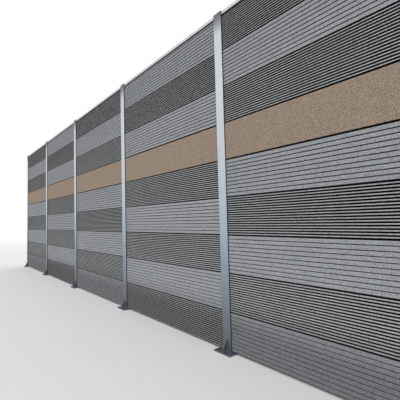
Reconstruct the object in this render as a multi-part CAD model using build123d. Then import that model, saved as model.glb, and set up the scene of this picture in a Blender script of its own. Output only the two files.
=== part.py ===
from build123d import *
import os

# Noise barrier of precast panels slid between steel H posts.
# X runs along the barrier, -Y is the road side, Z is up.
# The origin is under the first post's base plate.

# The run
bay_count = 5
bay_pitch = 3000.0
courses = 9
plain_course = 3

# H posts
post_depth = 150.0
flange_width = 150.0
web_thickness = 7.0
flange_thickness = 10.0
root_radius = 8.0
post_rise = 6.0

# Base plates and gussets
plate_length = 300.0
plate_width = 350.0
plate_thickness = 20.0
anchor_pitch_x = 200.0
anchor_pitch_y = 260.0
anchor_radius = 13.0
gusset_thickness = 10.0
gusset_height = 150.0
gusset_land = 15.0
gusset_snipe = 12.0
gusset_setback = 12.0

# Precast panels
panel_height = 500.0
panel_end_gap = 10.0
end_margin = 50.0
edge_rebate = 10.5
rebate_depth = 25.0
tongue_width = 40.0
tongue_height = 40.0
tongue_draft = 3.0
tongue_offset = 15.0
tongue_clearance = 3.0

# Ribbed face: narrow ribs with deep grooves between them
rib_count = 17
rib_groove_mouth = 17.5
rib_groove_floor = 13.0
rib_groove_depth = 35.0

# Slatted face: broad slats with narrow V grooves between them
slat_count = 10
slat_groove_mouth = 11.0
slat_groove_depth = 20.0

# Rubber seals and sheet metal coping
seal_thickness = 5.0
seal_inset = 6.0
seal_setback = 8.0
coping_sheet = 3.0
coping_leg = 55.0
coping_lip = 12.0
lip_gap = 5.0
coping_clearance = 0.5

# Sizes that follow from the ones above
panel_length = bay_pitch - web_thickness - 2 * panel_end_gap
channel_width = post_depth - 2 * flange_thickness
panel_thickness = channel_width - 2 * seal_thickness
stack_top = plate_thickness + courses * panel_height
coping_top = stack_top + tongue_height + coping_sheet
coping_foot = coping_top - coping_leg
lip_cut = coping_sheet / 2**0.5
coping_bend = coping_foot + coping_lip + lip_cut
post_top = coping_top + post_rise


def outline(points, plane):
    """Closed flat face through the points of one sketch plane."""
    corners = [plane.from_local_coords(p) for p in points]
    return make_face(Polyline(*corners, close=True))


def h_post(rounded):
    """Rolled H section from its base plate to a little above the coping's top."""
    flange_y = (post_depth - flange_thickness) / 2
    flange = Rectangle(flange_width, flange_thickness)
    section = Rectangle(web_thickness, channel_width)
    section += Pos(0, flange_y) * flange
    section += Pos(0, -flange_y) * flange
    if rounded:
        roots = [
            v
            for v in section.vertices()
            if abs(abs(v.X) - web_thickness / 2) < 0.01 and abs(abs(v.Y) - channel_width / 2) < 0.01
        ]
        section = fillet(roots, root_radius)
    return Pos(0, 0, plate_thickness) * extrude(section, post_top - plate_thickness)


def base_plate():
    """Flat plate with four anchor holes."""
    sheet = Rectangle(plate_length, plate_width)
    sheet -= GridLocations(anchor_pitch_x, anchor_pitch_y, 2, 2) * Circle(anchor_radius)
    return extrude(sheet, plate_thickness)


def gussets():
    """Two web stiffeners, one outside each flange, with a snipe over the weld."""
    inner = post_depth / 2
    outer = plate_width / 2 - gusset_setback
    foot = plate_thickness
    side = [
        (inner + gusset_snipe, foot),
        (outer, foot),
        (outer, foot + gusset_land),
        (inner + gusset_land, foot + gusset_height),
        (inner, foot + gusset_height),
        (inner, foot + gusset_snipe),
    ]
    rear = extrude(outline(side, Plane.YZ), gusset_thickness / 2, both=True)
    front = mirror(rear, Plane.XZ)
    return [rear, front]


def panel_blank():
    """Plain panel with its tongue, its groove and a rebate along both of its front edges."""
    front = -panel_thickness / 2
    back = panel_thickness / 2
    half = tongue_width / 2
    mouth = half + tongue_clearance
    slope = tongue_draft
    depth = tongue_height + tongue_clearance
    at = tongue_offset
    section = [
        (front + rebate_depth, 0),
        (at - mouth, 0),
        (at - mouth + slope, depth),
        (at + mouth - slope, depth),
        (at + mouth, 0),
        (back, 0),
        (back, panel_height),
        (at + half, panel_height),
        (at + half - slope, panel_height + tongue_height),
        (at - half + slope, panel_height + tongue_height),
        (at - half, panel_height),
        (front + rebate_depth, panel_height),
        (front + rebate_depth, panel_height - edge_rebate),
        (front, panel_height - edge_rebate),
        (front, edge_rebate),
        (front + rebate_depth, edge_rebate),
    ]
    return extrude(outline(section, Plane.YZ), panel_length / 2, both=True)


def profiled_panel(bar_count, mouth, floor, depth):
    """Panel with tapered grooves that stop short of its plain ends; a floor of 0 gives a V."""
    front = -panel_thickness / 2
    pitch = (panel_height - 2 * edge_rebate + mouth) / bar_count
    taper = (mouth - floor) / 2
    grooves = []
    for i in range(1, bar_count):
        low = edge_rebate + i * pitch - mouth
        section = [(front, low), (front + depth, low + taper)]
        if floor:
            section.append((front + depth, low + taper + floor))
        section.append((front, low + mouth))
        grooves.append(extrude(outline(section, Plane.YZ), panel_length / 2 - end_margin, both=True))
    return panel_blank() - grooves


def coping():
    """Folded channel over the top panel's tongue, with drip lips at 45 degrees between the flanges."""
    inner = panel_thickness / 2 + coping_clearance
    outer = inner + coping_sheet
    tip = outer + coping_lip
    channel = [
        (-outer, coping_bend),
        (-outer, coping_top),
        (outer, coping_top),
        (outer, coping_bend),
        (inner, coping_bend),
        (inner, coping_top - coping_sheet),
        (-inner, coping_top - coping_sheet),
        (-inner, coping_bend),
    ]
    lip = [
        (outer, coping_bend),
        (tip, coping_foot + lip_cut),
        (tip - lip_cut, coping_foot),
        (inner, coping_foot + tip - lip_cut - inner),
        (inner, coping_bend),
    ]
    sheet = extrude(outline(channel, Plane.YZ), panel_length / 2, both=True)
    rear_lip = extrude(outline(lip, Plane.YZ), (bay_pitch - flange_width) / 2 - lip_gap, both=True)
    return sheet + rear_lip + mirror(rear_lip, Plane.XZ)


def seals():
    """Rubber strips between the panels' ends and the flanges of both posts."""
    low = -bay_pitch / 2 + web_thickness / 2 + panel_end_gap + seal_inset
    high = -bay_pitch / 2 + flange_width / 2 - seal_setback
    middle = (panel_thickness + seal_thickness) / 2
    strip = Pos((low + high) / 2, -middle) * Rectangle(high - low, seal_thickness)
    front_left = Pos(0, 0, plate_thickness) * extrude(strip, coping_bend - plate_thickness)
    front_right = mirror(front_left, Plane.YZ)
    return [front_left, front_right, mirror(front_left, Plane.XZ), mirror(front_right, Plane.XZ)]


def kind_of(bay, course_from_top):
    """Ribbed and slatted panels take turns, with one plain panel between them."""
    if course_from_top == plain_course:
        return "plain"
    turn = course_from_top - (1 if course_from_top > plain_course else 0)
    return "ribbed" if (turn + bay) % 2 == 0 else "slatted"


def save(name, solids):
    """Write one node, as one solid or as a compound of several."""
    shape = solids[0] if len(solids) == 1 else Compound(children=solids)
    export_step(shape, f"parts/{name}.step")


def main():
    os.makedirs("parts", exist_ok=True)

    # Only the end posts stand open on one side, so only their roots show
    end_post = h_post(rounded=True)
    inner_post = h_post(rounded=False)
    plate = base_plate()
    stiffeners = gussets()
    for i in range(bay_count + 1):
        station = Pos(i * bay_pitch, 0, 0)
        post = end_post if i in (0, bay_count) else inner_post
        save(f"post_{i + 1}", [station * post])
        save(f"base_plate_{i + 1}", [station * plate])
        save(f"gussets_{i + 1}", [station * g for g in stiffeners])

    panels = {
        "plain": panel_blank(),
        "ribbed": profiled_panel(rib_count, rib_groove_mouth, rib_groove_floor, rib_groove_depth),
        "slatted": profiled_panel(slat_count, slat_groove_mouth, 0.0, slat_groove_depth),
    }
    cap = coping()
    strips = seals()
    for bay in range(bay_count):
        middle = (bay + 0.5) * bay_pitch
        for kind, panel in panels.items():
            stacked = []
            for course in range(courses):
                if kind_of(bay, course) == kind:
                    foot = stack_top - (course + 1) * panel_height
                    stacked.append(Pos(middle, 0, foot) * panel)
            name = f"{kind}_panel" if kind == "plain" else f"{kind}_panels"
            save(f"{name}_{bay + 1}", stacked)
        save(f"coping_{bay + 1}", [Pos(middle, 0, 0) * cap])
        save(f"seals_{bay + 1}", [Pos(middle, 0, 0) * s for s in strips])


main()
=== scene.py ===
"""The looks of a run of precast noise barrier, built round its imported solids.

Metres throughout. X runs along the barrier, -Y is the road side and Z is up.
"""
import logging
import math
from dataclasses import asdict, dataclass, field
from enum import Enum, IntEnum
from typing import Any, Mapping, Optional, Sequence

import bmesh
import bpy
from mathutils import Matrix, Vector

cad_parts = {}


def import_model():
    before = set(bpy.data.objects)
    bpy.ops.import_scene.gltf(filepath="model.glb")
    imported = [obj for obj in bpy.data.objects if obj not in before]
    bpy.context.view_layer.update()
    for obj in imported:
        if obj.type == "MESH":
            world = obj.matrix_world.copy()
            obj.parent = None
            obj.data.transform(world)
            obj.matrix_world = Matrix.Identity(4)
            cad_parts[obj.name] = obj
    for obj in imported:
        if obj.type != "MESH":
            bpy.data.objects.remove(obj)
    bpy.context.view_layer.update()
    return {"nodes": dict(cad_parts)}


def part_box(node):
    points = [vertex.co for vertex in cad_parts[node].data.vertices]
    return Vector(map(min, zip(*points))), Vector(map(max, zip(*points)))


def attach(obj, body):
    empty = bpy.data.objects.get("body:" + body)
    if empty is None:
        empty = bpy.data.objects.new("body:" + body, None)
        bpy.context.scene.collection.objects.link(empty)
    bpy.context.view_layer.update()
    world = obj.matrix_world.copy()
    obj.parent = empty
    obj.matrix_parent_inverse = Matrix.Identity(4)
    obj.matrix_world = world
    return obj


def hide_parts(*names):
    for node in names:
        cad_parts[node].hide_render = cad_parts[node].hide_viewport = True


BODY = "root"
SEED = 7

log = logging.getLogger("barrier")

Socket = bpy.types.NodeSocket
Node = bpy.types.Node
Mesh = bpy.types.Mesh
Material = bpy.types.Material
Corner = tuple[float, float, float]
Point = tuple[float, float]


class PanelKind(IntEnum):
    """The three facings that a panel can be cast with."""

    RIBBED = 0
    SLATTED = 1
    PLAIN = 2


class Slot(Enum):
    """The record's material slots."""

    STEEL = "galvanised_steel"
    RIBBED = "ribbed_concrete"
    SLATTED = "slatted_concrete"
    SAND = "sand_concrete"
    COPING = "coping_sheet"
    RUBBER = "seal_rubber"


def linear(hex_colour: str) -> tuple[float, float, float, float]:
    """Turns an sRGB hex colour into linear light.

    Args:
        hex_colour: six hex digits, red first.

    Returns:
        Linear red, green and blue, and an alpha of 1.
    """
    channels = [int(hex_colour[i : i + 2], 16) / 255 for i in (0, 2, 4)]
    light = [c / 12.92 if c <= 0.04045 else ((c + 0.055) / 1.055) ** 2.4 for c in channels]
    return (light[0], light[1], light[2], 1.0)


@dataclass(frozen=True)
class Graph:
    """A node tree, its named inputs, and short ways to add the nodes that repeat."""

    tree: bpy.types.NodeTree
    entries: Mapping[str, Socket] = field(default_factory=dict)

    def __getitem__(self, label: str) -> Socket:
        """The tree's own input of that name."""
        return self.entries[label]

    def add(
        self,
        kind: str,
        settings: Optional[Mapping[str, Any]] = None,
        inputs: Optional[Mapping[Any, Any]] = None,
    ) -> Node:
        """Adds one node with its settings and links.

        Args:
            kind: the node's type name.
            settings: attributes of the node itself.
            inputs: by socket name or number, a value, what feeds it, or a list of nodes and sockets that do.

        Returns:
            The new node.
        """
        node = self.tree.nodes.new(kind)
        for label, value in (settings or {}).items():
            setattr(node, label, value)
        for key, given in (inputs or {}).items():
            for value in given if isinstance(given, list) else [given]:
                source = value.outputs[0] if isinstance(value, Node) else value
                if isinstance(source, Socket):
                    self.tree.links.new(source, node.inputs[key])
                else:
                    node.inputs[key].default_value = source
        return node

    def maths(self, operation: str, *values: Any) -> Node:
        """Adds one operation on up to three numbers."""
        return self.add("ShaderNodeMath", {"operation": operation}, dict(enumerate(values)))

    def same(self, first: Any, second: Any) -> Node:
        """Adds a test of whether two whole numbers are the same."""
        return self.maths("COMPARE", first, second, 0.1)

    def over(self, value: Any, limit: Any) -> Node:
        """Adds a test of whether a number is over a limit."""
        return self.maths("GREATER_THAN", value, limit)

    def under(self, value: Any, limit: Any) -> Node:
        """Adds a test of whether a number is under a limit."""
        return self.maths("LESS_THAN", value, limit)

    def random(self, seed: Any, low: Any = 0.0, high: Any = 1.0) -> Socket:
        """Draws a number for each instance and gives it."""
        inputs = {2: low, 3: high, "Seed": seed}
        return self.add("FunctionNodeRandomValue", {"data_type": "FLOAT"}, inputs).outputs[1]

    def vectors(self, operation: str, inputs: Mapping[Any, Any]) -> Node:
        """Adds one operation on vectors."""
        return self.add("ShaderNodeVectorMath", {"operation": operation}, inputs)

    def product(self, first: Any, *others: Any) -> Any:
        """Multiplies a number by the others, one after another.

        Args:
            first: the number to start from.
            others: what it is multiplied by.

        Returns:
            What gives the product.
        """
        for value in others:
            first = self.maths("MULTIPLY", first, value)
        return first

    def varied(self, start: float, shares: Sequence[tuple[Any, float]]) -> Any:
        """Adds a share of each of several patterns to a brightness.

        Args:
            start: the brightness without the patterns.
            shares: each pattern, and how much of it is added.

        Returns:
            What gives the varied brightness.
        """
        brightness: Any = start
        for pattern, share in shares:
            brightness = self.maths("MULTIPLY_ADD", pattern, share, brightness)
        return brightness

    def slope(
        self, value: Any, start: Any, end: Any, low: Any = 0.0, high: Any = 1.0, smooth: bool = True
    ) -> Node:
        """Adds a slope that is level outside its two ends.

        Args:
            value: what is followed.
            start: the value at which the slope starts.
            end: the value at which it ends.
            low: what it gives up to its start.
            high: what it gives from its end on.
            smooth: whether it eases in and out.

        Returns:
            The slope's node.
        """
        settings = {"interpolation_type": "SMOOTHSTEP" if smooth else "LINEAR"}
        inputs = {"Value": value, "From Min": start, "From Max": end, "To Min": low, "To Max": high}
        return self.add("ShaderNodeMapRange", settings, inputs)

    def mix(self, share: Any, none: Any, full: Any) -> Node:
        """Adds a mix of two numbers."""
        return self.add("ShaderNodeMix", {"data_type": "FLOAT"}, {0: share, 2: none, 3: full})

    def blend(self, share: Any, none: Any, full: Any, mode: str = "MIX") -> Socket:
        """Adds a blend of two colours and gives its result."""
        settings = {"data_type": "RGBA", "blend_type": mode}
        return self.add("ShaderNodeMix", settings, {0: share, 6: none, 7: full}).outputs[2]

    def shade(self, colour: Any, brightness: Any) -> Node:
        """Adds a colour at a given brightness."""
        return self.add("ShaderNodeHueSaturation", inputs={"Color": colour, "Value": brightness})

    def axes(self, vector: Any) -> Mapping[str, Socket]:
        """Splits a vector into X, Y and Z."""
        return self.add("ShaderNodeSeparateXYZ", inputs={"Vector": vector}).outputs

    def vector(self, **axes: Any) -> Node:
        """Adds a vector of the given X, Y and Z."""
        return self.add("ShaderNodeCombineXYZ", inputs=axes)

    def cells(self, place: Any, size: float) -> Mapping[str, Socket]:
        """Adds cells of one size, such as granules or crystals, and gives their outputs."""
        return self.add("ShaderNodeTexVoronoi", inputs={"Vector": place, "Scale": 1 / size}).outputs

    def own_tints(self, cells: Mapping[str, Socket]) -> Mapping[str, Socket]:
        """Splits the colour that each cell has of its own."""
        return self.add("ShaderNodeSeparateColor", inputs={"Color": cells["Color"]}).outputs

    def clouds(self, place: Any, size: float, detail: float) -> Node:
        """Adds soft clouds of one size."""
        return self.add("ShaderNodeTexNoise", inputs={"Vector": place, "Scale": 1 / size, "Detail": detail})

    def streaks(self, place: Any, size: Corner, detail: float) -> Node:
        """Adds soft streaks of one size."""
        inputs = {"Vector": place, "Scale": tuple(1 / length for length in size)}
        return self.clouds(self.add("ShaderNodeMapping", inputs=inputs), 1.0, detail)

    def tint(self) -> Socket:
        """Reads the tint that each panel has of its own."""
        return self.add("ShaderNodeAttribute", {"attribute_name": "panel_tint"}).outputs["Fac"]

    def relief(self, height: Any, depth: float, strength: float, sunken: bool = False) -> Node:
        """Adds relief too fine for the mesh.

        Args:
            height: the pattern that stands out.
            depth: how far, in metres.
            strength: how much of it shows.
            sunken: whether the pattern lies below the surface.

        Returns:
            The node that gives the surface's direction.
        """
        inputs = {"Height": height, "Strength": strength, "Distance": depth}
        return self.add("ShaderNodeBump", {"invert": sunken}, inputs)

    def moved(self, shape: Any, **inputs: Any) -> Node:
        """Moves a shape's points."""
        return self.add("GeometryNodeSetPosition", inputs={"Geometry": shape, **inputs})

    def copies(self, points: Any, shape: Any, **inputs: Any) -> Node:
        """Puts a copy of a shape on every point."""
        placed = {"Points": points, "Instance": shape, **inputs}
        return self.add("GeometryNodeInstanceOnPoints", inputs=placed)

    def realized(self, copies: Any) -> Node:
        """Turns copies into plain geometry."""
        return self.add("GeometryNodeRealizeInstances", inputs={"Geometry": copies})

    def coated(self, shape: Any, finish: Any, **inputs: Any) -> Node:
        """Gives a shape its material."""
        coat = {"Geometry": shape, "Material": finish, **inputs}
        return self.add("GeometryNodeSetMaterial", inputs=coat)

    def surface(self, inputs: Mapping[str, Any]) -> None:
        """Ends a material in one shader."""
        shader = self.add("ShaderNodeBsdfPrincipled", inputs=inputs)
        self.add("ShaderNodeOutputMaterial", inputs={"Surface": shader})


def new_material(name: str) -> tuple[Material, Graph, Socket]:
    """Starts an empty material.

    Args:
        name: the real material and how it was made.

    Returns:
        The material, its graph, and the place on the object that its patterns follow.
    """
    material = bpy.data.materials.new(name)
    material.use_nodes = True
    material.node_tree.nodes.clear()
    graph = Graph(material.node_tree)
    return material, graph, graph.add("ShaderNodeTexCoord").outputs["Object"]


def new_tree(name: str, **labels: Sequence[str]) -> Graph:
    """Starts a geometry tree with named inputs.

    Args:
        name: what the tree makes.
        labels: by the last word of a socket type, the names of the inputs of that type.

    Returns:
        The tree's graph.
    """
    tree = bpy.data.node_groups.new(name, "GeometryNodeTree")
    tree.interface.new_socket("Geometry", in_out="OUTPUT", socket_type="NodeSocketGeometry")
    for kind, names in {"Geometry": ["Geometry"], **labels}.items():
        for label in names:
            tree.interface.new_socket(label, in_out="INPUT", socket_type=f"NodeSocket{kind}")
    entry = Graph(tree).add("NodeGroupInput")
    return Graph(tree, {s.name: s for s in entry.outputs if s.name})


def by_label(sizes: Any) -> dict[str, Any]:
    """A dataclass's values under the names that a tree's inputs have."""
    return {label.replace("_", " ").title(): value for label, value in asdict(sizes).items()}


def new_piece(name: str, mesh: Mesh, *finishes: Material) -> bpy.types.Object:
    """Links a mesh into the scene as an object at the origin.

    Args:
        name: the piece's name.
        mesh: its mesh, already in place.
        finishes: the mesh's materials, where it has none yet.

    Returns:
        The object.
    """
    for finish in finishes:
        mesh.materials.append(finish)
    piece = bpy.data.objects.new(name, mesh)
    bpy.context.scene.collection.objects.link(piece)
    return piece


def grow(name: str, seed_mesh: Mesh, graph: Graph, values: Mapping[str, Any]) -> bpy.types.Object:
    """Runs a geometry tree on a mesh and keeps its result as a plain mesh.

    Args:
        name: the piece's name.
        seed_mesh: the mesh that the tree starts from.
        graph: the geometry tree's graph.
        values: the tree's inputs by name.

    Returns:
        A piece that holds the plain result.
    """
    piece = new_piece(name, seed_mesh)
    modifier = piece.modifiers.new(graph.tree.name, "NODES")
    modifier.node_group = graph.tree
    for item in graph.tree.interface.items_tree:
        if item.in_out == "INPUT" and item.name in values:
            modifier[item.identifier] = values[item.name]
    depsgraph = bpy.context.evaluated_depsgraph_get()
    result = bpy.data.meshes.new_from_object(piece.evaluated_get(depsgraph), depsgraph=depsgraph)
    piece.modifiers.clear()
    piece.data = result
    bpy.data.meshes.remove(seed_mesh)
    face_outwards(result)
    return piece


def face_outwards(mesh: Mesh) -> None:
    """Cuts faces of many sides into triangles and turns every face outwards.

    Args:
        mesh: a mesh of closed shells, changed in place.
    """
    shape = bmesh.new()
    shape.from_mesh(mesh)
    bmesh.ops.triangulate(shape, faces=[f for f in shape.faces if len(f.verts) > 4])
    bmesh.ops.recalc_face_normals(shape, faces=shape.faces)
    shape.to_mesh(mesh)
    shape.free()


def rounded(corners: Sequence[Corner], steps: int = 3) -> list[Point]:
    """Rounds the corners of a closed outline.

    Args:
        corners: two coordinates and a radius for each corner, in order.
        steps: straight stretches to an arc.

    Returns:
        The outline's points, with arcs in place of the rounded corners.
    """
    points: list[Point] = []
    for i, (u, v, radius) in enumerate(corners):
        here = Vector((u, v))
        if radius == 0:
            points.append((u, v))
            continue
        back = (Vector(corners[i - 1][:2]) - here).normalized()
        ahead = (Vector(corners[(i + 1) % len(corners)][:2]) - here).normalized()
        half = math.acos(max(-1.0, min(1.0, back.dot(ahead)))) / 2
        centre = here + (back + ahead).normalized() * radius / math.sin(half)
        start = here + back * radius / math.tan(half) - centre
        end = here + ahead * radius / math.tan(half) - centre
        swing = math.atan2(start.x * end.y - start.y * end.x, start.dot(end))
        for step in range(steps + 1):
            turned = Matrix.Rotation(swing * step / steps, 2) @ start
            points.append((centre.x + turned.x, centre.y + turned.y))
    return points


class Axis(Enum):
    """The direction in which a flat outline is drawn out into a bar."""

    ALONG = "x"
    UP = "z"


def draw_out(
    shape: bmesh.types.BMesh,
    outline: Sequence[Point],
    axis: Axis,
    low: float,
    high: float,
    shift: Point = (0.0, 0.0),
) -> None:
    """Adds a straight bar of one section to a mesh.

    Args:
        shape: the mesh that gets the bar.
        outline: the section, as Y and Z for a bar along X, or X and Y for an upright one.
        axis: the bar's direction.
        low: where it starts.
        high: where it ends.
        shift: moves the section in its own plane.
    """
    rings = []
    for level in (low, high):
        flat = [(u + shift[0], v + shift[1]) for u, v in outline]
        places = [(level, u, v) if axis is Axis.ALONG else (u, v, level) for u, v in flat]
        rings.append([shape.verts.new(p) for p in places])
    first, last = rings
    for i in range(len(outline)):
        j = (i + 1) % len(outline)
        shape.faces.new((first[i], first[j], last[j], last[i]))
    shape.faces.new(list(reversed(first)))
    shape.faces.new(last)


def finish_mesh(name: str, shape: bmesh.types.BMesh) -> Mesh:
    """Turns a working mesh into a finished one.

    Args:
        name: the mesh's name.
        shape: the working mesh, which is freed.

    Returns:
        The mesh, with its faces outwards.
    """
    mesh = bpy.data.meshes.new(name)
    shape.to_mesh(mesh)
    shape.free()
    face_outwards(mesh)
    return mesh


def softened_copy(source: bpy.types.Object, name: str, radius: float) -> Mesh:
    """Copies a solid's mesh and takes the sharpness off its edges.

    Args:
        source: the solid.
        name: the copy's name.
        radius: how wide the rounding is.

    Returns:
        The softened mesh, inside the solid's own surface.
    """
    sharp_angle = math.radians(30)
    flat_angle = math.radians(0.5)
    shape = bmesh.new()
    shape.from_mesh(source.data)
    bmesh.ops.remove_doubles(shape, verts=shape.verts, dist=1e-6)
    bmesh.ops.dissolve_limit(shape, angle_limit=flat_angle, verts=shape.verts, edges=shape.edges)
    sharp = [e for e in shape.edges if len(e.link_faces) == 2 and e.calc_face_angle() > sharp_angle]
    bmesh.ops.bevel(shape, geom=sharp, offset=radius, segments=2, profile=0.5, affect="EDGES")
    return finish_mesh(name, shape)


def settle(piece: bpy.types.Object, slot: Slot, *nodes: str) -> None:
    """Puts a finished piece on the barrier's one body.

    Args:
        piece: the piece.
        slot: not used.
        nodes: the solids that it stands for.
    """
    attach(piece, BODY)
    if nodes:
        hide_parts(*nodes)
    log.info("%s: %d faces", piece.name, len(piece.data.polygons))


@dataclass(frozen=True)
class OpenPoredConcrete:
    """Light aggregate bound with little cement: matt and speckled, with painted shade in its grooves, pores
    and joints.

    The grooves are painted dark with depth as shade, at once on a bar's underside and only a way in on its
    upper side. The wall is painted a little darker towards its top, as the shade of the bars' undersides, and
    in a strip beside each post, as the shade behind the flange's edge. The foot of the wall is darker and
    warmer, partly road spray and partly painted shade, and a dark line along the top is the painted shadow of
    the coping's lip.
    """

    name: str
    face: str
    recess: str
    post_pitch: float
    speckle: float = 0.20
    granule: float = 0.005
    mottling: float = 0.10
    panel_spread: float = 0.08
    pore_from: float = 0.36
    pore_to: float = 0.74
    pore_tone: float = 0.36
    beside_post: float = 0.30
    strip_from: float = 0.070
    strip_to: float = 0.086
    lean: float = 0.2
    recess_start: float = -0.0594
    recess_under: float = -0.0570
    recess_over: float = -0.0420
    damp_from: float = 3.3
    damp_to: float = 4.3
    dampness: float = 0.10
    splash: str = "C3BEBF"
    splash_from: float = 0.76
    splash_to: float = 0.28
    drip_from: float = 4.480
    drip_to: float = 4.496
    drip: float = 0.42
    cloud: float = 0.22
    streak_width: float = 0.05
    streak_length: float = 0.90
    relief: float = 0.0012

    def material(self) -> Material:
        """Builds the material.

        Returns:
            A material that reads each panel's own tint from the attribute panel_tint.
        """
        material, graph, place = new_material(self.name)
        granules = graph.cells(place, self.granule)

        # Each share swings about one half, so the sum starts low enough to keep the mean at one
        shares = (
            (graph.own_tints(granules)["Red"], self.speckle),
            (graph.clouds(place, self.cloud, 5.0), self.mottling),
            (graph.streaks(place, (self.streak_width, 1.0, self.streak_length), 3.0), self.mottling),
            (graph.tint(), self.panel_spread),
        )
        patterned = graph.varied(1 - sum(share for _, share in shares) / 2, shares)

        axes = graph.axes(place)
        depth, height = axes["Y"], axes["Z"]
        from_post = graph.maths("PINGPONG", axes["X"], self.post_pitch / 2)
        to_middle = granules["Distance"]
        brightness = graph.product(
            patterned,
            # Painted shade: darker towards the top of the wall, for the bars' shaded undersides
            graph.slope(height, self.damp_from, self.damp_to, 1.0, 1.0 - self.dampness),
            # Painted shade: a dark strip beside each post, behind the flange's edge
            graph.slope(from_post, self.strip_from, self.strip_to, self.beside_post, 1.0),
            # Painted shade in the pores: darker towards the rims between granules
            graph.slope(to_middle, self.pore_from, self.pore_to, 1.0, self.pore_tone, smooth=False),
            # Painted shadow: a dark line under the coping's lip
            graph.slope(height, self.drip_from, self.drip_to, 1.0, self.drip),
        )
        # Painted shade: grooves and joints take the dark recess colour with depth, at once on a bar's
        # underside and further in on its upper side
        flat = graph.add("ShaderNodeNewGeometry").outputs["True Normal"]
        upward = graph.slope(graph.axes(flat)["Z"], -self.lean, self.lean, smooth=False)
        reach = graph.mix(upward, self.recess_under, self.recess_over)
        sunk = graph.slope(depth, self.recess_start, reach)
        clean = graph.shade(graph.blend(sunk, linear(self.face), linear(self.recess)), brightness)
        # Darker and warmer towards the foot: partly road spray, partly painted shade
        spray_and_shade_share = graph.slope(height, self.splash_to, self.splash_from, 1.0, 0.0)
        graph.surface(
            {
                "Base Color": graph.blend(spray_and_shade_share, clean, linear(self.splash), "MULTIPLY"),
                "Roughness": 0.93,
                "Specular IOR Level": 0.25,
                "Normal": graph.relief(to_middle, self.relief, 0.7, sunken=True),
            }
        )
        return material


@dataclass(frozen=True)
class DenseConcrete:
    """The cast backing: smooth grey concrete with soft blotches and pinholes from trapped air."""

    name: str = "dense_cast_concrete"
    colour: str = "A5A6A2"
    darkest: float = 0.87
    blotch: float = 0.35
    blotching: float = 0.18
    panel_spread: float = 0.08
    pinhole_spacing: float = 0.035
    pinhole_radius: float = 0.0028
    pinhole_tone: float = 0.35

    def material(self) -> Material:
        """Builds the material.

        Returns:
            The backing's material.
        """
        material, graph, place = new_material(self.name)
        blotches = graph.clouds(place, self.blotch, 6.0)
        shares = ((blotches, self.blotching), (graph.tint(), self.panel_spread))
        patterned = graph.varied(self.darkest, shares)
        # The pinholes are painted dark as the shade inside them
        rim = self.pinhole_radius / self.pinhole_spacing
        to_middle = graph.cells(place, self.pinhole_spacing)["Distance"]
        hole = graph.slope(to_middle, rim / 2, rim, self.pinhole_tone, 1.0, smooth=False)
        graph.surface(
            {
                "Base Color": graph.shade(linear(self.colour), graph.product(patterned, hole)),
                "Roughness": 0.82,
                "Specular IOR Level": 0.35,
                "Normal": graph.relief(hole, 0.002, 0.5),
            }
        )
        return material


@dataclass(frozen=True)
class GalvanisedSteel:
    """Hot-dip zinc: a satin metal with a faint spangle, its colour following the height above the ground."""

    name: str
    height: float
    stops: tuple[tuple[float, str], ...]
    spangle: float
    roughness: float
    roughness_spread: float = 0.12
    darkest: float = 0.93
    spangle_tint: float = 0.06
    drip_tint: float = 0.08
    drip_width: float = 0.02
    drip_length: float = 0.60

    def material(self) -> Material:
        """Builds the material.

        Returns:
            A metal whose colour follows the height above the ground.
        """
        material, graph, place = new_material(self.name)
        level = graph.slope(graph.axes(place)["Z"], 0.0, self.height, smooth=False)
        colour = graph.add("ShaderNodeValToRGB", inputs={"Fac": level})
        elements = colour.color_ramp.elements
        while len(elements) < len(self.stops):
            elements.new(0.5)
        for element, (share, tone) in zip(elements, self.stops):
            element.position = share
            element.color = linear(tone)

        crystals = graph.own_tints(graph.cells(place, self.spangle))
        drips = graph.streaks(place, (self.drip_width, self.drip_width, self.drip_length), 4.0)
        shares = ((crystals["Red"], self.spangle_tint), (drips, self.drip_tint))
        brightness = graph.varied(self.darkest, shares)
        smoothest = self.roughness - self.roughness_spread / 2
        gloss = graph.maths("MULTIPLY_ADD", crystals["Green"], self.roughness_spread, smoothest)
        graph.surface({"Base Color": graph.shade(colour, brightness), "Metallic": 0.85, "Roughness": gloss})
        return material


@dataclass(frozen=True)
class SealRubber:
    """Extruded EPDM rubber: matt black with a faint bloom."""

    name: str = "extruded_seal_rubber"
    fresh: str = "161718"
    bloomed: str = "242526"
    bloom: float = 1 / 9

    def material(self) -> Material:
        """Builds the material.

        Returns:
            The rubber's material.
        """
        material, graph, place = new_material(self.name)
        colour = graph.blend(graph.clouds(place, self.bloom, 4.0), linear(self.fresh), linear(self.bloomed))
        graph.surface({"Base Color": colour, "Roughness": 0.7, "Specular IOR Level": 0.4})
        return material


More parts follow.
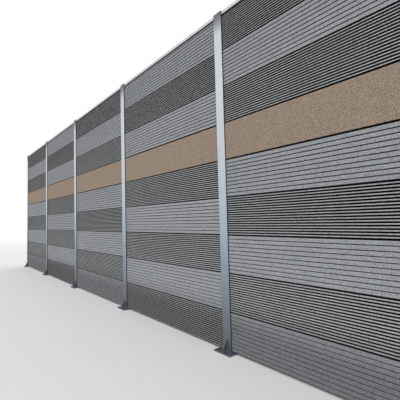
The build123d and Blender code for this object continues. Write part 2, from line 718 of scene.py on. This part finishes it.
@dataclass(frozen=True)
class Run:
    """The sizes that sub-assemblies share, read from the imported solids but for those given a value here."""

    bays: int
    pitch: float
    courses: int
    course_height: float
    foot: float
    flange_half: float
    plain_course: int = 3
    web: float = 0.007
    flange: float = 0.010

    @classmethod
    def from_frame(cls, nodes: Mapping[str, bpy.types.Object]) -> "Run":
        """Measures the run.

        Args:
            nodes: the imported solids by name.

        Returns:
            The run's sizes.
        """
        bays = sum(name.startswith("coping_") for name in nodes)
        first, second = (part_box(f"post_{i}") for i in (1, 2))
        lowest = min(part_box(f"{kind}_panels_1")[0].z for kind in ("ribbed", "slatted"))
        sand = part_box("plain_panel_1")[0].z
        # A level nearer than this to the plain panel's foot is that foot itself
        nearest = 0.1
        levels = cls.levels(nodes["ribbed_panels_1"], nodes["slatted_panels_1"])
        course_height = round(sand - max(z for z in levels if z < sand - nearest), 4)
        courses = int((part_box("coping_1")[1].z - lowest) / course_height)
        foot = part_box("base_plate_1")[1].z
        flange_half = (first[1].x - first[0].x) / 2
        return cls(bays, second[0].x - first[0].x, courses, course_height, foot, flange_half)

    @staticmethod
    def levels(*solids: bpy.types.Object) -> set[float]:
        """Finds the heights at which the solids' end faces start and stop.

        Args:
            solids: panels' solids.

        Returns:
            The heights, to a millimetre.
        """
        # Only points on the end face itself, and within a millimetre of the rear
        on_end = 1e-4
        at_rear = 0.059
        found = set()
        for solid in solids:
            end = min(v.co.x for v in solid.data.vertices) + on_end
            found |= {round(v.co.z, 3) for v in solid.data.vertices if v.co.x < end and v.co.y > at_rear}
        return found

    def middle(self, bay: int) -> float:
        """X of a bay's middle; bays count from 0."""
        return (bay + 0.5) * self.pitch


@dataclass(frozen=True)
class Bars:
    """The bars and grooves cast on one kind of facing. A floor of 0 makes a V groove."""

    count: int
    mouth: float
    floor: float
    depth: float
    arris: float
    root: float


@dataclass
class CastPanels:
    """Precast panels with a porous facing on a dense backing, tongued and grooved along their long edges."""

    run: Run
    facings: Mapping[PanelKind, OpenPoredConcrete]
    backing: DenseConcrete
    length: float
    front: float = -0.060
    back: float = 0.060
    rebate: float = 0.0105
    rebate_depth: float = 0.025
    tongue_width: float = 0.040
    tongue_height: float = 0.040
    tongue_draft: float = 0.003
    tongue_middle: float = 0.015
    tongue_clearance: float = 0.003
    facing_back: float = -0.010
    end_margin: float = 0.050
    run_out: float = 0.020
    edge_radius: float = 0.004
    small_radius: float = 0.002
    stations: int = 36
    wear: float = 0.0009
    wear_scale: float = 30.0
    tolerance: float = 0.0002
    merge_distance: float = 0.00005

    BARS = {
        PanelKind.RIBBED: Bars(count=17, mouth=0.0175, floor=0.013, depth=0.035, arris=0.0018, root=0.002),
        PanelKind.SLATTED: Bars(count=10, mouth=0.011, floor=0.0, depth=0.020, arris=0.0015, root=0.001),
        PanelKind.PLAIN: Bars(count=1, mouth=0.0, floor=0.0, depth=0.0, arris=0.003, root=0.0),
    }
    NAMES = {
        PanelKind.RIBBED: ("ribbed_panels", Slot.RIBBED),
        PanelKind.SLATTED: ("slatted_panels", Slot.SLATTED),
        PanelKind.PLAIN: ("plain_panel", Slot.SAND),
    }

    def outline(self) -> Mesh:
        """Draws one panel's section without its barred front.

        Returns:
            An open line of edges with Y and Z as its first two coordinates, and each corner's radius.
        """
        at = self.tongue_middle
        half = self.tongue_width / 2
        mouth = half + self.tongue_clearance
        slope = self.tongue_draft
        top = self.run.course_height
        tip = top + self.tongue_height
        roof = self.tongue_height + self.tongue_clearance
        step = self.front + self.rebate_depth
        small = self.small_radius
        corners: list[Corner] = [
            (self.front, top - self.rebate, small),
            (step, top - self.rebate, small),
            (step, top, small),
            (self.facing_back, top, 0.0),
            (at - half, top, 0.0),
            (at - half + slope, tip, small),
            (at + half - slope, tip, small),
            (at + half, top, 0.0),
            (self.back, top, self.edge_radius),
            (self.back, 0.0, self.edge_radius),
            (at + mouth, 0.0, small),
            (at + mouth - slope, roof, small),
            (at - mouth + slope, roof, small),
            (at - mouth, 0.0, 0.0),
            (self.facing_back, 0.0, 0.0),
            (step, 0.0, small),
            (step, self.rebate, small),
            (self.front, self.rebate, small),
        ]
        mesh = bpy.data.meshes.new("panel_outline")
        steps = [(i, i + 1) for i in range(len(corners) - 1)]
        mesh.from_pydata([(y, z, 0.0) for y, z, _ in corners], steps, [])
        radii = mesh.attributes.new("round", "FLOAT", "POINT")
        radii.data.foreach_set("value", [radius for _, _, radius in corners])
        return mesh

    def tree(self) -> Graph:
        """Builds the tree that casts one bay's panels of one kind.

        Returns:
            A tree that adds the bars to the outline, sweeps it along X and stacks the result in its courses.
        """
        graph = new_tree(
            "cast_panels",
            Int=("Count", "Stations", "Bay", "Kind", "Seed"),
            Float=("Mouth", "Floor", "Depth", "Arris", "Root", "Length", "Middle", "Wear"),
            Material=("Facing", "Backing"),
        )
        section = self.barred_section(graph)
        panel = self.swept(graph, section)
        stack = self.stacked(graph, panel)
        self.finished(graph, stack)
        return graph

    def barred_section(self, graph: Graph) -> Node:
        """Adds the bars' line to the outline and rounds the closed section.

        Args:
            graph: the tree's graph.

        Returns:
            The node that gives the section as a closed curve.
        """
        barred = self.run.course_height - 2 * self.rebate
        index = graph.add("GeometryNodeInputIndex")
        corner = graph.maths("MODULO", index, 4.0)
        bar = graph.maths("FLOOR", graph.maths("MULTIPLY", index, 0.25))
        pitch = graph.maths("DIVIDE", graph.maths("ADD", graph["Mouth"], barred), graph["Count"])
        rib = graph.maths("SUBTRACT", pitch, graph["Mouth"])
        taper = graph.maths("MULTIPLY", graph.maths("SUBTRACT", graph["Mouth"], graph["Floor"]), 0.5)

        # Four points to a bar: its lower and upper arris, then the floor of the groove above it
        level = graph.maths("MULTIPLY_ADD", bar, pitch, self.rebate)
        for threshold, step in ((0.5, rib), (1.5, taper), (2.5, graph["Floor"])):
            level = graph.maths("MULTIPLY_ADD", graph.over(corner, threshold), step, level)
        sunk = graph.over(corner, 1.5)
        setback = graph.maths("MULTIPLY_ADD", sunk, graph["Depth"], self.front)
        radius = graph.mix(sunk, graph["Arris"], graph["Root"])

        # The last bar has no groove above it
        points = graph.maths("MULTIPLY_ADD", graph["Count"], 4.0, -2.0)
        line = graph.add("GeometryNodeMeshLine", inputs={"Count": points, "Offset": (0.0, 0.0, 0.0)})
        bars = graph.moved(line, Position=graph.vector(X=setback, Y=level))
        marked = graph.add(
            "GeometryNodeStoreNamedAttribute",
            {"data_type": "FLOAT", "domain": "POINT"},
            {"Geometry": bars, "Name": "round", "Value": radius},
        )
        both = graph.add("GeometryNodeJoinGeometry", inputs={"Geometry": [marked, graph["Geometry"]]})
        merged = graph.add(
            "GeometryNodeMergeByDistance",
            inputs={"Geometry": both, "Distance": self.merge_distance},
        )
        curve = graph.add("GeometryNodeMeshToCurve", inputs={"Mesh": merged})
        named = graph.add("GeometryNodeInputNamedAttribute", {"data_type": "FLOAT"}, {"Name": "round"})
        return graph.add(
            "GeometryNodeFilletCurve",
            {"mode": "POLY"},
            {"Curve": curve, "Count": 2, "Radius": named, "Limit Radius": True},
        )

    def swept(self, graph: Graph, section: Node) -> Node:
        """Sweeps the section along X and closes its grooves short of both ends.

        Args:
            graph: the tree's graph.
            section: gives the closed section.

        Returns:
            The node that gives one panel, its middle over the origin.
        """
        index = graph.add("GeometryNodeInputIndex")
        half = graph.maths("MULTIPLY_ADD", graph["Length"], 0.5, -self.end_margin)
        minus_half = graph.maths("MULTIPLY", half, -1.0)
        last_inner = graph.maths("SUBTRACT", graph["Stations"], 3.0)
        along = graph.slope(index, 2.0, last_inner, minus_half, half, smooth=False)
        # The two outermost stations at each end stand beyond the grooved length
        plain_end = self.end_margin - self.run_out
        for passed, distance in (
            (graph.under(index, 1.5), -self.run_out),
            (graph.under(index, 0.5), -plain_end),
            (graph.over(index, graph.maths("ADD", last_inner, 0.5)), self.run_out),
            (graph.over(index, graph.maths("ADD", last_inner, 1.5)), plain_end),
        ):
            along = graph.maths("MULTIPLY_ADD", passed, distance, along)
        rail = graph.add("GeometryNodeCurvePrimitiveLine", inputs={"End": (1.0, 0.0, 0.0)})
        rail = graph.add("GeometryNodeResampleCurve", inputs={"Curve": rail, "Count": graph["Stations"]})
        path = graph.moved(rail, Position=graph.vector(X=along))
        sweep = graph.add(
            "GeometryNodeCurveToMesh",
            inputs={"Curve": path, "Profile Curve": section, "Fill Caps": True},
        )
        # A sweep along X lays the section's two coordinates along -Y and -Z
        turn = (math.pi, 0.0, 0.0)
        upright = graph.add("GeometryNodeTransform", inputs={"Geometry": sweep, "Rotation": turn})

        axes = graph.axes(graph.add("GeometryNodeInputPosition"))
        reach = graph.maths("ABSOLUTE", axes["X"])
        floor = graph.maths("ADD", graph["Depth"], self.front + self.tolerance)
        top = self.run.course_height - self.rebate - self.tolerance
        groove_ends = graph.product(
            graph.over(reach, graph.maths("ADD", half, self.tolerance)),
            graph.under(axes["Y"], floor),
            graph.over(axes["Z"], self.rebate + self.tolerance),
            graph.under(axes["Z"], top),
        )
        flush = graph.vector(X=axes["X"], Y=self.front, Z=axes["Z"])
        return graph.moved(upright, Selection=groove_ends, Position=flush)

    def stacked(self, graph: Graph, panel: Node) -> Node:
        """Stacks the panel in the courses that its kind has in this bay.

        Args:
            graph: the tree's graph.
            panel: gives one panel.

        Returns:
            The node that gives the panels as plain geometry, each with its own tint.
        """
        run = self.run
        start = graph.vector(X=graph["Middle"], Z=run.foot)
        levels = graph.add(
            "GeometryNodeMeshLine",
            inputs={"Count": run.courses, "Start Location": start, "Offset": (0.0, 0.0, run.course_height)},
        )
        # Ribbed and slatted panels take turns from the top down, with the plain panel between them
        index = graph.add("GeometryNodeInputIndex")
        from_top = graph.maths("SUBTRACT", run.courses - 1.0, index)
        is_plain = graph.same(from_top, float(run.plain_course))
        below = graph.over(from_top, float(run.plain_course))
        turn = graph.maths("SUBTRACT", from_top, below)
        parity = graph.maths("MODULO", graph.maths("ADD", turn, graph["Bay"]), 2.0)
        kind = graph.mix(is_plain, parity, float(PanelKind.PLAIN))
        copies = graph.copies(levels, panel, Selection=graph.same(kind, graph["Kind"]))
        # Each kind in each bay draws its tints from a seed of its own
        bay_seed = graph.maths("MULTIPLY_ADD", graph["Bay"], 10.0, graph["Seed"])
        own_seed = graph.maths("ADD", bay_seed, graph["Kind"])
        tinted = graph.add(
            "GeometryNodeStoreNamedAttribute",
            {"data_type": "FLOAT", "domain": "INSTANCE"},
            {"Geometry": copies, "Name": "panel_tint", "Value": graph.random(own_seed)},
        )
        return graph.realized(tinted)

    def finished(self, graph: Graph, stack: Node) -> None:
        """Wears the facing a little, gives both layers their material and ends the tree.

        Args:
            graph: the tree's graph.
            stack: gives the stacked panels.
        """
        position = graph.add("GeometryNodeInputPosition")
        depth = graph.axes(position)["Y"]
        is_facing = graph.under(depth, self.facing_back)
        is_backing = graph.over(depth, self.facing_back)
        noise = graph.add(
            "ShaderNodeTexNoise",
            {"noise_dimensions": "4D"},
            {"Vector": position, "W": graph["Seed"], "Scale": self.wear_scale, "Detail": 2.0},
        )
        centred = graph.vectors("SUBTRACT", {0: noise.outputs["Color"], 1: (0.5, 0.5, 0.5)})
        across = graph.vectors("MULTIPLY", {0: centred, 1: (0.0, 1.0, 1.0)})
        shift = graph.vectors("SCALE", {0: across, "Scale": graph["Wear"]})
        worn = graph.moved(stack, Selection=is_facing, Offset=shift)
        clean = graph.add("GeometryNodeRemoveAttribute", inputs={"Geometry": worn, "Name": "round"})
        plain = graph.realized(clean)
        flat = graph.add("GeometryNodeSetShadeSmooth", inputs={"Geometry": plain, "Shade Smooth": False})
        faced = graph.coated(flat, graph["Facing"])
        backed = graph.coated(faced, graph["Backing"], Selection=is_backing)
        graph.add("NodeGroupOutput", inputs={"Geometry": backed})

    def build(self) -> None:
        """Casts every bay's panels and puts them in place of their solids."""
        graph = self.tree()
        backing = self.backing.material()
        facings = {kind: finish.material() for kind, finish in self.facings.items()}
        for bay in range(self.run.bays):
            for kind, bars in self.BARS.items():
                node_name, slot = self.NAMES[kind]
                values = {
                    **by_label(bars),
                    "Length": self.length,
                    "Stations": self.stations,
                    "Bay": bay,
                    "Kind": int(kind),
                    "Middle": self.run.middle(bay),
                    "Wear": self.wear,
                    "Seed": SEED,
                    "Facing": facings[kind],
                    "Backing": backing,
                }
                piece = grow(f"cast_{node_name}_{bay + 1}", self.outline(), graph, values)
                settle(piece, slot, f"{node_name}_{bay + 1}")


@dataclass
class RolledPosts:
    """H posts as the mill rolls them, with their root fillets and slightly rounded flange tips."""

    run: Run
    finish: Material
    edge_finish: Material
    root: float = 0.008
    tip: float = 0.0015

    def section(self, width: float, depth: float) -> list[Point]:
        """Draws the H.

        Args:
            width: across the flanges.
            depth: over both flanges.

        Returns:
            The closed outline in X and Y.
        """
        far, near = depth / 2, depth / 2 - self.run.flange
        edge, web = width / 2, self.run.web / 2
        quarter: list[Corner] = [(edge, far, self.tip), (edge, near, self.tip), (web, near, self.root)]
        right = quarter + [(x, -y, r) for x, y, r in reversed(quarter)]
        left = [(-x, y, r) for x, y, r in reversed(right)]
        return rounded(right + left)

    def build(self) -> None:
        """Rolls every post from its foot to its top."""
        for number in range(1, self.run.bays + 2):
            low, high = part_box(f"post_{number}")
            middle = ((low.x + high.x) / 2, (low.y + high.y) / 2)
            shape = bmesh.new()
            outline = self.section(high.x - low.x, high.y - low.y)
            draw_out(shape, outline, Axis.UP, low.z, high.z, middle)
            mesh = finish_mesh("rolled_post", shape)
            piece = new_piece(f"rolled_post_{number}", mesh, self.finish, self.edge_finish)
            # Only an edge with a panel beside it gets the painted shade
            edge_level = (high.x - low.x) / 2 - self.tip / 2
            for face in mesh.polygons:
                off_middle = face.center.x - middle[0]
                panel_beside = number > 1 if off_middle < 0 else number <= self.run.bays
                face.material_index = int(abs(off_middle) > edge_level and panel_beside)
            settle(piece, Slot.STEEL, f"post_{number}")


@dataclass
class PostFeet:
    """Base plates and gussets with softened edges, and the weld beads that join them to the posts."""

    run: Run
    nodes: Mapping[str, bpy.types.Object]
    finish: Material
    edge: float = 0.0015
    bead: float = 0.0045
    ripple: float = 0.0050
    unevenness: float = 0.12
    snipe: float = 0.012

    def seams(self, number: int) -> Mesh:
        """Draws the lines that the weld follows at one post's foot.

        Args:
            number: the post's number, from 1.

        Returns:
            Loose edges along every seam.
        """
        post_low, post_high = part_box(f"post_{number}")
        gusset_low, gusset_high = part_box(f"gussets_{number}")
        middle = (post_low.x + post_high.x) / 2
        floor = post_low.z
        end = post_high.x - middle
        outer = post_high.y
        inner = outer - self.run.flange
        web = self.run.web / 2
        stiffener = (gusset_high.x - gusset_low.x) / 2
        snipe = self.snipe
        points: list[Corner] = []
        for side in (-1, 1):
            for face in (-1, 1):
                # Outside the flange up to the gusset, inside it up to the web, and along the web
                points += [(face * stiffener, side * outer, floor), (face * end, side * outer, floor)]
                points += [(face * (web + snipe), side * inner, floor), (face * end, side * inner, floor)]
                points += [(face * web, 0.0, floor), (face * web, side * (inner - snipe), floor)]
                # Both faces of the gusset, out along the plate and up the flange
                foot = side * (outer + snipe)
                points += [(face * stiffener, foot, floor), (face * stiffener, side * gusset_high.y, floor)]
                heel = (face * stiffener, side * outer, floor + snipe)
                points += [heel, (face * stiffener, side * outer, gusset_high.z)]
        mesh = bpy.data.meshes.new("weld_seams")
        lines = [(i, i + 1) for i in range(0, len(points), 2)]
        mesh.from_pydata([(middle + x, y, z) for x, y, z in points], lines, [])
        return mesh

    def weld_tree(self) -> Graph:
        """Builds the tree that lays a rippled bead along every edge.

        Returns:
            The tree's graph.
        """
        sizes = ("Bead", "Ripple", "Unevenness")
        graph = new_tree("weld_beads", Float=sizes, Int=("Seed",), Material=("Metal",))
        curve = graph.add("GeometryNodeMeshToCurve", inputs={"Mesh": graph["Geometry"]})
        steps = graph.add(
            "GeometryNodeResampleCurve",
            {"mode": "LENGTH"},
            {"Curve": curve, "Length": graph["Ripple"]},
        )
        tangent = graph.add("GeometryNodeInputTangent")
        turn = graph.add("FunctionNodeAlignRotationToVector", {"axis": "Z"}, {"Vector": tangent})
        smallest = graph.maths("SUBTRACT", 1.0, graph["Unevenness"])
        largest = graph.maths("ADD", 1.0, graph["Unevenness"])
        swell = graph.random(graph["Seed"], smallest, largest)
        drop = graph.add("GeometryNodeMeshIcoSphere", inputs={"Radius": graph["Bead"], "Subdivisions": 1})
        ripples = graph.copies(steps, drop, Rotation=turn, Scale=swell)
        smooth = graph.add("GeometryNodeSetShadeSmooth", inputs={"Geometry": graph.realized(ripples)})
        graph.add("NodeGroupOutput", inputs={"Geometry": graph.coated(smooth, graph["Metal"])})
        return graph

    def build(self) -> None:
        """Makes the plate, the gussets and the welds of every post."""
        graph = self.weld_tree()
        values = {
            "Bead": self.bead,
            "Ripple": self.ripple,
            "Unevenness": self.unevenness,
            "Seed": SEED,
            "Metal": self.finish,
        }
        for number in range(1, self.run.bays + 2):
            for node_name, label in (("base_plate", "foot_plate"), ("gussets", "foot_gussets")):
                source = self.nodes[f"{node_name}_{number}"]
                piece = new_piece(f"{label}_{number}", softened_copy(source, label, self.edge), self.finish)
                settle(piece, Slot.STEEL, f"{node_name}_{number}")
            settle(grow(f"foot_welds_{number}", self.seams(number), graph, values), Slot.STEEL)


@dataclass(frozen=True)
class Screws:
    """One coping's row of hexagon screws with washers."""

    count: int = 6
    spacing: float = 0.5
    across_flats: float = 0.008
    head_height: float = 0.0040
    washer: float = 0.0075
    washer_height: float = 0.0015


@dataclass
class Coping:
    """A folded sheet channel with drip lips over each bay, screwed down into the top panel's tongue."""

    run: Run
    finish: Material
    screw_finish: Material
    screws: Screws = Screws()
    screw_row: float = 0.015
    washer_taper: float = 0.8
    sheet: float = 0.003
    fold: float = 0.005
    lip: float = 0.012
    lip_gap: float = 0.005

    def section(self, low: Vector, high: Vector, lipped: bool) -> list[Point]:
        """Draws the folded sheet's section.

        Args:
            low: the lowest corner of the coping's solid.
            high: the highest corner.
            lipped: whether the legs end in drip lips or are cut off at the bend.

        Returns:
            The closed outline in Y and Z.
        """
        outer = high.y - self.lip
        inner = outer - self.sheet
        tight = self.fold - self.sheet
        edge = self.sheet / 4
        cut = self.sheet / math.sqrt(2)
        bend = low.z + self.lip + cut
        half: list[Corner] = [(outer, high.z, self.fold)]
        if lipped:
            tip = high.y - cut
            half += [
                (outer, bend, tight),
                (high.y, low.z + cut, edge),
                (tip, low.z, edge),
                (inner, low.z + tip - inner, self.fold),
            ]
        else:
            half += [(outer, bend, edge), (inner, bend, edge)]
        half.append((inner, high.z - self.sheet, tight))
        return rounded(half + [(-y, z, r) for y, z, r in reversed(half)])

    def channel(self, low: Vector, high: Vector) -> Mesh:
        """Folds one bay's channel, its lips cut away where it passes behind the flanges.

        Args:
            low: the lowest corner of its solid.
            high: the highest corner.

        Returns:
            The channel's mesh.
        """
        middle = (low.x + high.x) / 2
        reach = self.run.pitch / 2 - self.run.flange_half - self.lip_gap
        ends = (low.x, middle - reach, middle + reach, high.x)
        shape = bmesh.new()
        for start, end, lipped in zip(ends, ends[1:], (False, True, False)):
            draw_out(shape, self.section(low, high, lipped), Axis.ALONG, start, end)
        return finish_mesh("folded_channel", shape)

    def screw_tree(self) -> Graph:
        """Builds the tree that sets a row of upright screws in a coping.

        Returns:
            The tree's graph.
        """
        graph = new_tree(
            "coping_screws",
            Int=("Count", "Seed"),
            Float=("Spacing", "Across Flats", "Head Height", "Washer", "Washer Height"),
            Vector=("Start",),
            Material=("Metal",),
        )
        corner_radius = graph.maths("DIVIDE", graph["Across Flats"], 2 * math.cos(math.pi / 6))
        head = graph.add(
            "GeometryNodeMeshCylinder",
            inputs={"Vertices": 6, "Radius": corner_radius, "Depth": graph["Head Height"]},
        )
        lift = graph.vector(Z=graph.maths("MULTIPLY_ADD", graph["Head Height"], 0.5, graph["Washer Height"]))
        on_top = graph.add("GeometryNodeTransform", inputs={"Geometry": head, "Translation": lift})
        disc = graph.add(
            "GeometryNodeMeshCone",
            inputs={
                "Vertices": 16,
                "Radius Top": graph.maths("MULTIPLY", graph["Washer"], self.washer_taper),
                "Radius Bottom": graph["Washer"],
                "Depth": graph["Washer Height"],
            },
        )
        screw = graph.add("GeometryNodeJoinGeometry", inputs={"Geometry": [on_top, disc]})
        step = graph.vector(X=graph["Spacing"])
        points = graph.add(
            "GeometryNodeMeshLine",
            inputs={"Count": graph["Count"], "Start Location": graph["Start"], "Offset": step},
        )
        spin = graph.vector(Z=graph.random(graph["Seed"], 0.0, math.pi / 3))
        turn = graph.add("FunctionNodeEulerToRotation", inputs={"Euler": spin})
        plain = graph.realized(graph.copies(points, screw, Rotation=turn))
        graph.add("NodeGroupOutput", inputs={"Geometry": graph.coated(plain, graph["Metal"])})
        return graph

    def build(self) -> None:
        """Folds and fixes the coping of every bay."""
        graph = self.screw_tree()
        row = (self.screws.count - 1) * self.screws.spacing
        for bay in range(self.run.bays):
            node_name = f"coping_{bay + 1}"
            low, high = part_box(node_name)
            piece = new_piece(f"folded_{node_name}", self.channel(low, high), self.finish)
            settle(piece, Slot.COPING, node_name)
            values = {
                **by_label(self.screws),
                "Start": (self.run.middle(bay) - row / 2, self.screw_row, high.z),
                "Seed": SEED + bay,
                "Metal": self.screw_finish,
            }
            screws = grow(f"coping_screws_{bay + 1}", bpy.data.meshes.new("no_mesh"), graph, values)
            settle(screws, Slot.STEEL)


@dataclass
class EdgeSeals:
    """Rubber strips pinched between the panels' ends and the flanges, just inside the flanges' edges."""

    run: Run
    finish: Material
    setback: float = 0.008
    nose: float = 0.0022
    heel: float = 0.0008

    def build(self, panel_back: float) -> None:
        """Makes the four strips of every bay.

        Args:
            panel_back: Y of the panels' rear faces.
        """
        shown = self.run.pitch / 2 - self.run.flange_half + self.setback
        for bay in range(self.run.bays):
            node_name = f"seals_{bay + 1}"
            low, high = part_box(node_name)
            middle = self.run.middle(bay)
            outer = high.x - middle
            shape = bmesh.new()
            for end in (-1, 1):
                for side in (-1, 1):
                    far, near = side * high.y, side * panel_back
                    corners = [
                        (end * outer, far, self.heel),
                        (end * shown, far, self.nose),
                        (end * shown, near, self.nose),
                        (end * outer, near, self.heel),
                    ]
                    draw_out(shape, rounded(corners), Axis.UP, low.z, high.z, (middle, 0.0))
            piece = new_piece(f"rubber_{node_name}", finish_mesh("rubber_strips", shape), self.finish)
            settle(piece, Slot.RUBBER, node_name)


@dataclass(frozen=True)
class Studio:
    """A pale floor, soft light and the camera at the photographed angle."""

    camera_at: Corner = (15.3615, -3.1057, 1.7373)
    yaw: float = 51.782
    pitch: float = 3.253
    roll: float = -1.553
    focal_pixels: float = 338.34
    frame_pixels: float = 400.0
    sensor: float = 36.0
    lamp_level: float = 1.60
    lamp_angle: float = 50.0
    lamp_from: Corner = (0.50, -0.55, 0.75)
    floor_colour: str = "CFCFCE"
    floor_return: str = "7A7A78"
    floor_middle: Corner = (7.5, 0.0, 0.0)
    floor_reach: float = 120.0
    fade_from: float = 9.0
    fade_to: float = 40.0

    def build(self) -> None:
        """Sets up the floor, the light and the camera."""
        bpy.context.scene.view_settings.view_transform = "Standard"
        self.world()
        self.lamp()
        self.floor()
        self.camera()

    def world(self) -> None:
        """Lights the scene evenly and shows white behind it."""
        world = bpy.data.worlds.new("soft_studio")
        bpy.context.scene.world = world
        world.use_nodes = True
        world.node_tree.nodes.clear()
        graph = Graph(world.node_tree)
        light = graph.add("ShaderNodeBackground", inputs={"Color": (1.0, 1.0, 1.0, 1.0), "Strength": 1.0})
        graph.add("ShaderNodeOutputWorld", inputs={"Surface": light})

    def lamp(self) -> None:
        """Adds a broad soft lamp from above, in front and to the right."""
        lamp = bpy.data.lights.new("soft_lamp", "SUN")
        lamp.energy = self.lamp_level
        lamp.angle = math.radians(self.lamp_angle)
        holder = bpy.data.objects.new("soft_lamp", lamp)
        holder.rotation_euler = Vector(self.lamp_from).to_track_quat("Z", "Y").to_euler()
        bpy.context.scene.collection.objects.link(holder)

    def floor_finish(self) -> Material:
        """Builds the floor's material.

        Returns:
            A matt floor that fades to white in the distance.
        """
        material, graph, place = new_material("pale_studio_floor")
        # Rays that look at the floor, straight or in metal or glass, not those that gather light
        path = graph.add("ShaderNodeLightPath").outputs
        seen: Any = path["Is Camera Ray"]
        for kind in ("Is Glossy Ray", "Is Transmission Ray"):
            seen = graph.maths("MAXIMUM", seen, path[kind])
        # The floor looks pale, but returns only as much light to undersides as a road does
        tone = graph.blend(seen, linear(self.floor_return), linear(self.floor_colour))
        from_middle = graph.vectors("SUBTRACT", {0: place, 1: self.floor_middle})
        distance = graph.vectors("LENGTH", {0: from_middle}).outputs["Value"]
        fade = graph.product(graph.slope(distance, self.fade_from, self.fade_to), seen)
        paint = graph.add("ShaderNodeBsdfDiffuse", inputs={"Color": tone})
        white = graph.add("ShaderNodeEmission", inputs={"Strength": 1.0})
        both = graph.add("ShaderNodeMixShader", inputs={0: fade, 1: paint, 2: white})
        graph.add("ShaderNodeOutputMaterial", inputs={"Surface": both})
        return material

    def floor(self) -> None:
        """Lays a wide pale floor."""
        shape = bmesh.new()
        bmesh.ops.create_circle(shape, cap_ends=True, segments=96, radius=self.floor_reach)
        bmesh.ops.translate(shape, verts=shape.verts, vec=self.floor_middle)
        mesh = bpy.data.meshes.new("studio_floor")
        shape.to_mesh(mesh)
        shape.free()
        new_piece("studio_floor", mesh, self.floor_finish())

    def camera(self) -> None:
        """Places the camera where the photograph was taken."""
        yaw, pitch, roll = (math.radians(a) for a in (self.yaw, self.pitch, self.roll))
        ahead = Vector((-math.sin(yaw) * math.cos(pitch), math.cos(yaw) * math.cos(pitch), math.sin(pitch)))
        level_right = Vector((math.cos(yaw), math.sin(yaw), 0.0))
        level_up = level_right.cross(ahead)
        right = level_right * math.cos(roll) + level_up * math.sin(roll)
        up = level_up * math.cos(roll) - level_right * math.sin(roll)
        data = bpy.data.cameras.new("photo_camera")
        data.sensor_width = self.sensor
        data.lens = self.focal_pixels / self.frame_pixels * self.sensor
        data.clip_end = 2 * self.floor_reach
        camera = bpy.data.objects.new("photo_camera", data)
        turn = Matrix((right, up, -ahead)).transposed().to_4x4()
        camera.matrix_world = Matrix.Translation(Vector(self.camera_at)) @ turn
        bpy.context.scene.collection.objects.link(camera)
        bpy.context.scene.camera = camera


def main() -> None:
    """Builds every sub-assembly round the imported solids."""
    logging.basicConfig(level=logging.INFO, format="%(name)s %(message)s")
    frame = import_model()
    nodes = frame["nodes"]
    run = Run.from_frame(nodes)
    log.info("%s", run)

    post_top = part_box("post_1")[1].z
    # Painted reflection and shade: the zinc runs from dark grey at the ground through blue grey to pale grey,
    # as the reflection of a dark road and the sky and the shade near the ground; it is also darker near its
    # top
    zinc_reflection_tones = (
        (0.000, "6F747D"),
        (0.070, "797E88"),
        (0.160, "8C949E"),
        (0.245, "97A5B1"),
        (0.333, "AAB7C4"),
        (0.420, "B6C2CE"),
        (0.510, "C3CBD4"),
        (0.680, "CCD1D6"),
        (0.770, "D0D5DA"),
        (0.935, "CDD2D6"),
        (0.967, "999DA1"),
        (0.985, "787C80"),
        (1.000, "717579"),
    )
    zinc = GalvanisedSteel("hot_dip_galvanised_steel", post_top, zinc_reflection_tones, spangle=0.018, roughness=0.50)
    # Painted shade: the flanges' edge faces beside the panels are painted dark as the shade they stand in,
    # darkest over the upper part of each post
    edge_shade_tones = ((0.0, "4B4D4F"), (0.5, "56595C"), (0.62, "4C4F51"), (0.74, "303234"), (1.0, "242527"))
    edge_shade = GalvanisedSteel("flange_edge_painted_shade", post_top, edge_shade_tones, spangle=0.018, roughness=0.70)
    # Thinner zinc on rolled sheet, washed clean by rain at the top of the wall
    sheet_tones = ((0.0, "B8BCC0"), (1.0, "CACED1"))
    sheet = GalvanisedSteel("galvanised_folded_sheet", post_top, sheet_tones, spangle=0.010, roughness=0.38)
    # Plated rather than dipped, so it is smoother and its crystals are much smaller
    screw_tones = ((0.0, "A9AEB2"), (1.0, "B7BCC0"))
    plated = GalvanisedSteel("zinc_plated_screw", post_top, screw_tones, spangle=0.004, roughness=0.35)
    # Granules of a few millimetres are drawn at 5 to 7 mm, as coarse as they need to be to show
    facings = {
        PanelKind.RIBBED: OpenPoredConcrete(
            name="ribbed_open_pored_concrete",
            face="C0C4C5",
            recess="0E0F0F",
            post_pitch=run.pitch,
            speckle=0.22,
            # The ribbed facing gets more of the painted shade towards the top, starting lower down
            damp_from=3.1,
            damp_to=3.9,
            dampness=0.20,
        ),
        PanelKind.SLATTED: OpenPoredConcrete(
            name="slatted_open_pored_concrete",
            face="B6BABF",
            recess="151719",
            post_pitch=run.pitch,
        ),
        PanelKind.PLAIN: OpenPoredConcrete(
            name="sand_coloured_open_pored_concrete",
            face="AE9B8A",
            recess="231E19",
            post_pitch=run.pitch,
            speckle=0.40,
            granule=0.007,
            mottling=0.08,
            panel_spread=0.06,
            # A lighter painted shade beside the posts on the plain facing
            beside_post=0.55,
        ),
    }

    coping_low, coping_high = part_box("coping_1")
    dipped = zinc.material()
    CastPanels(run, facings, DenseConcrete(), length=coping_high.x - coping_low.x).build()
    RolledPosts(run, dipped, edge_shade.material()).build()
    PostFeet(run, nodes, dipped).build()
    Coping(run, sheet.material(), plated.material()).build()
    EdgeSeals(run, SealRubber().material()).build(panel_back=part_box("plain_panel_1")[1].y)
    Studio().build()


if __name__ == "__main__":
    main()
